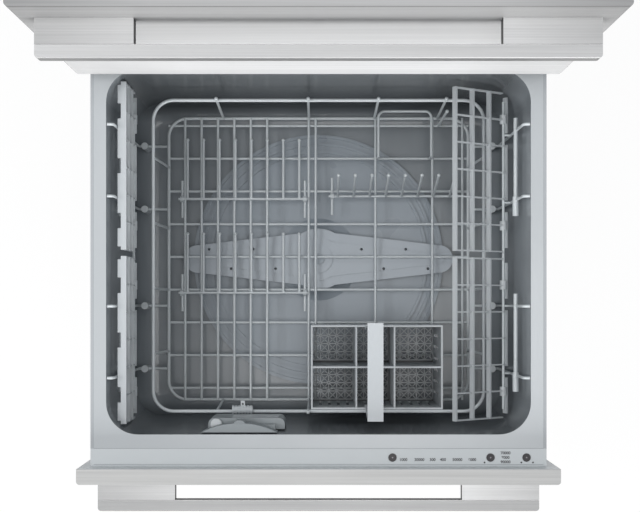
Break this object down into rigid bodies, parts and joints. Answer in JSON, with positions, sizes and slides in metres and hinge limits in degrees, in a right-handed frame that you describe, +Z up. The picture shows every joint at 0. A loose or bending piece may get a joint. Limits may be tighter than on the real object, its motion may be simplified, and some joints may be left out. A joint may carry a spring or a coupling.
{
  "type": "drawer dishwasher",
  "caption": "Built-in dishwasher made of two stacked washing drawers on telescopic runners, with the lower drawer pulled out to show its tub, baskets and folding racks.",
  "frame": {"origin": "bottom centre of the whole machine's box with the lower drawer out: the floor under its feet", "axes": "+X to the right seen from the front, +Y towards the back, +Z up"},
  "size_m": [0.597, 1.124, 0.82],
  "materials": {
    "brushed_steel": "brushed, grain along the width",
    "handle_steel": "satin, grain along the bar",
    "rim_plastic": "fine satin moulding",
    "tub_plastic": "satin moulding",
    "coated_wire": "nylon-coated steel wire",
    "rack_plastic": "satin moulding",
    "dark_plastic": "satin moulding",
    "coated_sheet": "zinc-coated sheet",
    "filter_plastic": "satin moulding",
    "spray_plastic": "satin moulding"
  },
  "bodies": {
    "cabinet": {"side_panels": "coated_sheet", "top_panel": "coated_sheet", "back_panel": "coated_sheet", "base_pan": "coated_sheet", "levelling_feet": "dark_plastic", "toe_kick": "dark_plastic", "fixed_runners": "coated_sheet", "hose_connections": "rim_plastic", "lid_carriers": "coated_sheet"},
    "lower_bay_lid": {"lower_lid": "rim_plastic"},
    "upper_bay_lid": {"upper_lid": "rim_plastic"},
    "lower_drawer": {"lower_front_skin": "brushed_steel", "lower_front_liner": "rim_plastic", "lower_handle_bar": "handle_steel", "lower_handle_brackets": "handle_steel", "lower_fascia": "rim_plastic", "lower_tub": "tub_plastic", "lower_side_frames": "coated_sheet", "lower_inner_runners": "coated_sheet", "lower_filter_plate": "filter_plastic", "lower_wash_unit": "dark_plastic", "lower_dispenser": "rim_plastic"},
    "lower_runner_members": {"lower_middle_runners": "coated_sheet"},
    "lower_programme_push": {"lower_programme_button": "dark_plastic"},
    "lower_option_push": {"lower_option_button": "dark_plastic"},
    "lower_power_push": {"lower_power_button": "dark_plastic"},
    "lower_arm": {"lower_spray_arm": "spray_plastic"},
    "lower_detergent_lid": {"lower_dispenser_lid": "rack_plastic"},
    "lower_basket": {"lower_basket_floor": "coated_wire", "lower_basket_sides": "coated_wire", "lower_rack_posts": "coated_wire"},
    "lower_cap": {"lower_rinse_cap": "rim_plastic"},
    "lower_left_front_rack": {"lower_cup_rack_left_front": "rack_plastic"},
    "lower_left_back_rack": {"lower_cup_rack_left_back": "rack_plastic"},
    "lower_right_front_rack": {"lower_cup_rack_right_front": "rack_plastic"},
    "lower_right_back_rack": {"lower_cup_rack_right_back": "rack_plastic"},
    "lower_left_front_tine_row": {"lower_tines_left_front": "coated_wire"},
    "lower_left_back_tine_row": {"lower_tines_left_back": "coated_wire"},
    "lower_right_tine_row": {"lower_tines_right": "coated_wire"},
    "lower_cutlery": {"lower_cutlery_basket": "rack_plastic"},
    "upper_drawer": {"upper_front_skin": "brushed_steel", "upper_front_liner": "rim_plastic", "upper_handle_bar": "handle_steel", "upper_handle_brackets": "handle_steel", "upper_fascia": "rim_plastic", "upper_tub": "tub_plastic", "upper_side_frames": "coated_sheet", "upper_inner_runners": "coated_sheet", "upper_filter_plate": "filter_plastic", "upper_wash_unit": "dark_plastic", "upper_dispenser": "rim_plastic", "upper_basket_floor": "coated_wire", "upper_basket_sides": "coated_wire"},
    "upper_runner_members": {"upper_middle_runners": "coated_sheet"},
    "upper_programme_push": {"upper_programme_button": "dark_plastic"},
    "upper_option_push": {"upper_option_button": "dark_plastic"},
    "upper_power_push": {"upper_power_button": "dark_plastic"},
    "upper_arm": {"upper_spray_arm": "spray_plastic"},
    "upper_detergent_lid": {"upper_dispenser_lid": "rack_plastic"},
    "upper_tine_row": {"upper_tines": "coated_wire"}
  },
  "joints": [
    {"name": "lower_lid_lift", "type": "slide", "parent": "cabinet", "child": "lower_bay_lid", "axis": [0, 0, 1], "range_m": [-0.0046, 0]},
    {"name": "upper_lid_lift", "type": "slide", "parent": "cabinet", "child": "upper_bay_lid", "axis": [0, 0, 1], "range_m": [-0.0046, 0]},
    {"name": "lower_drawer_slide", "type": "slide", "parent": "cabinet", "child": "lower_drawer", "axis": [0, -1, 0], "range_m": [-0.505, 0]},
    {"name": "lower_runner_slide", "type": "slide", "parent": "cabinet", "child": "lower_runner_members", "axis": [0, -1, 0], "range_m": [-0.2525, 0]},
    {"name": "lower_programme_press", "type": "slide", "parent": "lower_drawer", "child": "lower_programme_push", "axis": [0, 0, -1], "range_m": [0, 0.0012], "stiffness_N_per_m": 300},
    {"name": "lower_option_press", "type": "slide", "parent": "lower_drawer", "child": "lower_option_push", "axis": [0, 0, -1], "range_m": [0, 0.0012], "stiffness_N_per_m": 300},
    {"name": "lower_power_press", "type": "slide", "parent": "lower_drawer", "child": "lower_power_push", "axis": [0, 0, -1], "range_m": [0, 0.0012], "stiffness_N_per_m": 300},
    {"name": "lower_arm_spin", "type": "hinge", "parent": "lower_drawer", "child": "lower_arm", "pos_m": [0, -0.23445, 0.182], "axis": [0, 0, 1], "continuous": true},
    {"name": "lower_detergent_lid_hinge", "type": "hinge", "parent": "lower_drawer", "child": "lower_detergent_lid", "pos_m": [-0.09983, -0.44775, 0.338], "axis": [-1, 0, 0], "range_deg": [0, 90]},
    {"name": "lower_basket_lift", "type": "slide", "parent": "lower_drawer", "child": "lower_basket", "axis": [0, 0, 1], "range_m": [0, 0.3]},
    {"name": "lower_cap_turn", "type": "hinge", "parent": "lower_drawer", "child": "lower_cap", "pos_m": [-0.13083, -0.45315, 0.387], "axis": [0, 0, 1], "range_deg": [0, 90]},
    {"name": "lower_left_front_rack_fold", "type": "hinge", "parent": "lower_basket", "child": "lower_left_front_rack", "pos_m": [-0.247, -0.34495, 0.322], "axis": [0, 1, 0], "range_deg": [0, 54]},
    {"name": "lower_left_back_rack_fold", "type": "hinge", "parent": "lower_basket", "child": "lower_left_back_rack", "pos_m": [-0.247, -0.12395, 0.322], "axis": [0, 1, 0], "range_deg": [0, 54]},
    {"name": "lower_right_front_rack_fold", "type": "hinge", "parent": "lower_basket", "child": "lower_right_front_rack", "pos_m": [0.247, -0.34495, 0.322], "axis": [0, 1, 0], "range_deg": [0, 54]},
    {"name": "lower_right_back_rack_fold", "type": "hinge", "parent": "lower_basket", "child": "lower_right_back_rack", "pos_m": [0.247, -0.12395, 0.322], "axis": [0, 1, 0], "range_deg": [0, 54]},
    {"name": "lower_left_front_tine_row_fold", "type": "hinge", "parent": "lower_basket", "child": "lower_left_front_tine_row", "pos_m": [-0.10725, -0.28345, 0.2046], "axis": [1, 0, 0], "range_deg": [0, 80]},
    {"name": "lower_left_back_tine_row_fold", "type": "hinge", "parent": "lower_basket", "child": "lower_left_back_tine_row", "pos_m": [-0.10725, -0.14945, 0.2046], "axis": [1, 0, 0], "range_deg": [0, 80]},
    {"name": "lower_right_tine_row_fold", "type": "hinge", "parent": "lower_basket", "child": "lower_right_tine_row", "pos_m": [0.10725, -0.14545, 0.2046], "axis": [-1, 0, 0], "range_deg": [0, 75]},
    {"name": "lower_cutlery_lift", "type": "slide", "parent": "lower_basket", "child": "lower_cutlery", "axis": [0, 0, 1], "range_m": [0, 0.2]},
    {"name": "upper_drawer_slide", "type": "slide", "parent": "cabinet", "child": "upper_drawer", "axis": [0, 1, 0], "range_m": [-0.505, 0]},
    {"name": "upper_runner_slide", "type": "slide", "parent": "cabinet", "child": "upper_runner_members", "axis": [0, 1, 0], "range_m": [-0.2525, 0]},
    {"name": "upper_programme_press", "type": "slide", "parent": "upper_drawer", "child": "upper_programme_push", "axis": [0, 0, -1], "range_m": [0, 0.0012], "stiffness_N_per_m": 300},
    {"name": "upper_option_press", "type": "slide", "parent": "upper_drawer", "child": "upper_option_push", "axis": [0, 0, -1], "range_m": [0, 0.0012], "stiffness_N_per_m": 300},
    {"name": "upper_power_press", "type": "slide", "parent": "upper_drawer", "child": "upper_power_push", "axis": [0, 0, -1], "range_m": [0, 0.0012], "stiffness_N_per_m": 300},
    {"name": "upper_arm_spin", "type": "hinge", "parent": "upper_drawer", "child": "upper_arm", "pos_m": [0, 0.27055, 0.542], "axis": [0, 0, 1], "continuous": true},
    {"name": "upper_detergent_lid_hinge", "type": "hinge", "parent": "upper_drawer", "child": "upper_detergent_lid", "pos_m": [-0.09983, 0.05725, 0.698], "axis": [-1, 0, 0], "range_deg": [0, 90]},
    {"name": "upper_tine_row_fold", "type": "hinge", "parent": "upper_drawer", "child": "upper_tine_row", "pos_m": [-0.10725, 0.35555, 0.5646], "axis": [-1, 0, 0], "range_deg": [0, 80]}
  ],
  "couplings": [
    {"joint": "lower_runner_slide", "follows": "lower_drawer_slide", "ratio": 0.5},
    {"joint": "upper_runner_slide", "follows": "upper_drawer_slide", "ratio": 0.5}
  ]
}
